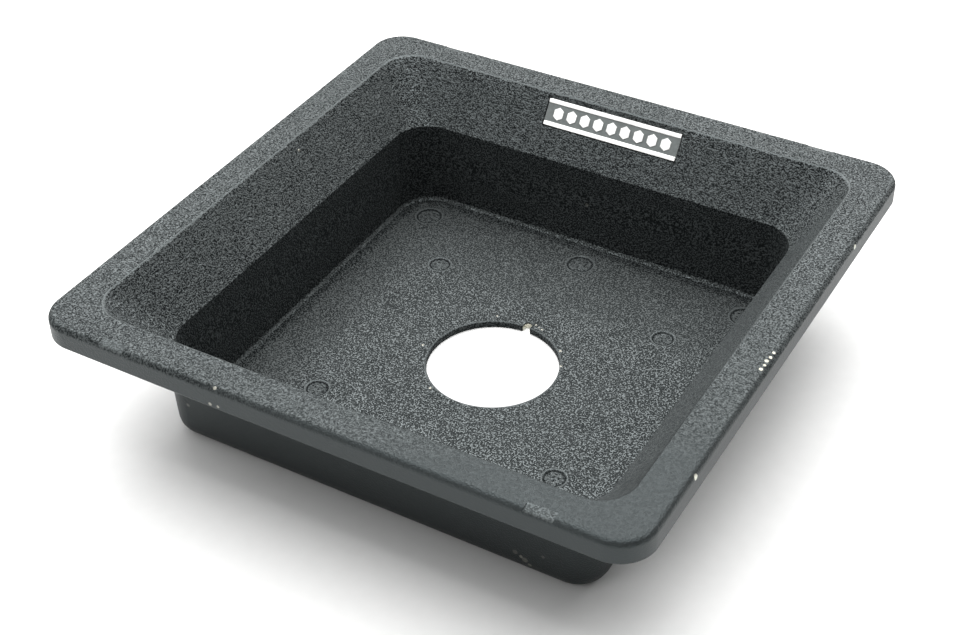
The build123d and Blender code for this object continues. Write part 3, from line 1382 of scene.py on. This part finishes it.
SOFT_BOXES = (
    SoftBox("overhead soft box", 90, 80, 1.6, 2.2, 1.8, 3.1),
    SoftBox("high back soft box", 115, 50, 1.7, 1.8, 0.8, 3.7),
    SoftBox("low back soft box", 90, 24, 1.8, 1.8, 0.7, 2.4),
    SoftBox("low left back soft box", 135, 24, 1.8, 1.0, 0.7, 1.2),
    SoftBox("left soft box", 185, 45, 1.6, 1.0, 0.9, 2.2),
    SoftBox("left front soft box", 240, 32, 1.6, 0.9, 0.7, 1.9),
    SoftBox("right soft box", 0, 52, 1.7, 0.9, 0.6, 0.6),
    SoftBox("high front soft box", 270, 65, 1.6, 1.2, 0.5, 2.5),
)


@dataclass
class Studio:
    """Pale table, soft light and camera.

    Lengths are in metres. The camera's turn is in degrees about X, then Y, then Z, starting
    from straight down: how far it looks up from there, its small roll and its bearing.
    """

    table_half: float = 3.0
    # A glowing disc of painted light on the table under the shutter hole.
    spot_radius: float = 0.0168
    spot_glow: float = 1.3
    room_glow: float = 0.14
    boxes: tuple[SoftBox, ...] = SOFT_BOXES
    camera_place: tuple[float, float, float] = (0.174216, -0.299640, 0.289163)
    camera_lens: float = 64.633
    camera_turn: tuple[float, float, float] = (51.86332, 0.90634, 29.97238)

    def table(self) -> bpy.types.Object:
        """Make the flat pale table that the board lies on.

        Returns:
            The object, a grid that dips a hundredth of a millimetre below the board's back.
        """
        ticks = np.linspace(-self.table_half, self.table_half, 9)
        x, y = np.meshgrid(ticks, ticks)
        points = np.stack([x, y, 0 * x - 1e-5], axis=-1).reshape(-1, 3)
        quads = grid_quads(np.arange(len(points)).reshape(x.shape))
        mesh = bpy.data.meshes.new("table")
        mesh.from_pydata(points.tolist(), [], quads.tolist())
        mesh.update()
        thing = bpy.data.objects.new("table", mesh)
        bpy.context.scene.collection.objects.link(thing)
        mesh.materials.append(TableTop().make())
        return thing

    def light_spot(self) -> bpy.types.Object:
        """Make the lit disc of the table under the shutter hole, a disc of painted light.

        Returns:
            A thin disc that glows white though it is no lamp, only seen through the hole.
        """
        turn = np.linspace(0, 2 * pi, 65)
        rings = np.array([0.0, 0.5, 1.0])[:, None] * self.spot_radius
        x, y = rings * np.cos(turn), rings * np.sin(turn)
        points = np.stack([x, y, 0 * x + 2e-5], axis=-1) / MM
        shell = Shell()
        shell.add(points)
        thing = shell.object("lit_table_spot")
        material, tree = new_material("painted light under the shutter hole")
        shader = add_node(tree, "ShaderNodeEmission",
                          {"Color": (1, 1, 1, 1), "Strength": self.spot_glow})
        add_node(tree, "ShaderNodeOutputMaterial", {}, {"Surface": shader.outputs[0]})
        thing.data.materials.append(material)
        return thing

    def soft_boxes(self) -> None:
        """Hang the soft boxes, each turned to face the board."""
        for box in self.boxes:
            lamp = bpy.data.lights.new(box.name, "AREA")
            lamp.shape = "RECTANGLE"
            lamp.size, lamp.size_y = box.width, box.height
            lamp.energy = box.glow * pi * box.width * box.height
            bearing, rise = radians(box.bearing), radians(box.rise)
            place = box.distance * Vector(
                (cos(rise) * cos(bearing), cos(rise) * sin(bearing), sin(rise))
            )
            thing = bpy.data.objects.new(box.name, lamp)
            thing.location = place
            thing.rotation_euler = (-place).to_track_quat("-Z", "Y").to_euler()
            bpy.context.scene.collection.objects.link(thing)

    def light(self) -> None:
        """Light the table with the soft boxes and a faint pale room."""
        world = bpy.data.worlds.new("pale room")
        bpy.context.scene.world = world
        world.use_nodes = True
        tree = world.node_tree
        tree.nodes.clear()
        sky = add_node(tree, "ShaderNodeBackground",
                       {"Color": (1, 1, 1, 1), "Strength": self.room_glow})
        add_node(tree, "ShaderNodeOutputWorld", {}, {"Surface": sky.outputs[0]})
        self.soft_boxes()
        view = bpy.context.scene.view_settings
        view.view_transform = "Standard"
        view.look = "None"
        view.exposure = 0.0

    def camera(self) -> bpy.types.Object:
        """Set the camera at its place, turned to face the board.

        Returns:
            The camera object.
        """
        data = bpy.data.cameras.new("camera")
        data.sensor_width = 36.0
        data.lens = self.camera_lens
        data.clip_start = 0.01
        thing = bpy.data.objects.new("camera", data)
        thing.location = self.camera_place
        thing.rotation_euler = tuple(radians(angle) for angle in self.camera_turn)
        bpy.context.scene.collection.objects.link(thing)
        bpy.context.scene.camera = thing
        return thing


def dress(
    thing: bpy.types.Object, material: bpy.types.Material, node: str,
) -> bpy.types.Object:
    """Give a new piece its material and put it in the place of its CAD node.

    Args:
        thing: the new piece.
        material: its finish.
        node: the CAD node that it stands for.

    Returns:
        The piece.
    """
    thing.data.materials.clear()
    thing.data.materials.append(material)
    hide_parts(node)
    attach(thing, "root")
    LOG.info("%s stands for %s with %d faces", thing.name, node, len(thing.data.polygons))
    return thing


def write_sizes() -> None:
    def plain(bounds: object) -> list:
        """Turn nested vectors into plain lists."""
        return [[float(v) for v in point] for point in bounds]


def main() -> None:
    """Build the board, the nameplate and the studio."""
    logging.basicConfig(level=logging.INFO, format="%(message)s")
    board = BoardCasting()
    dress(board.build(), WrinklePaint().make(), "board_casting")
    plate = Nameplate(board)
    dress(plate.metal(), BrightPlate().make(), "nameplate_plate")
    dress(plate.fill(), GreyEnamel().make(), "nameplate_enamel")
    dress(plate.film(), TransferGlue().make(), "nameplate_adhesive")
    studio = Studio()
    studio.table()
    studio.light_spot()
    studio.light()
    studio.camera()
    write_sizes()


if __name__ == "__main__":
    main()
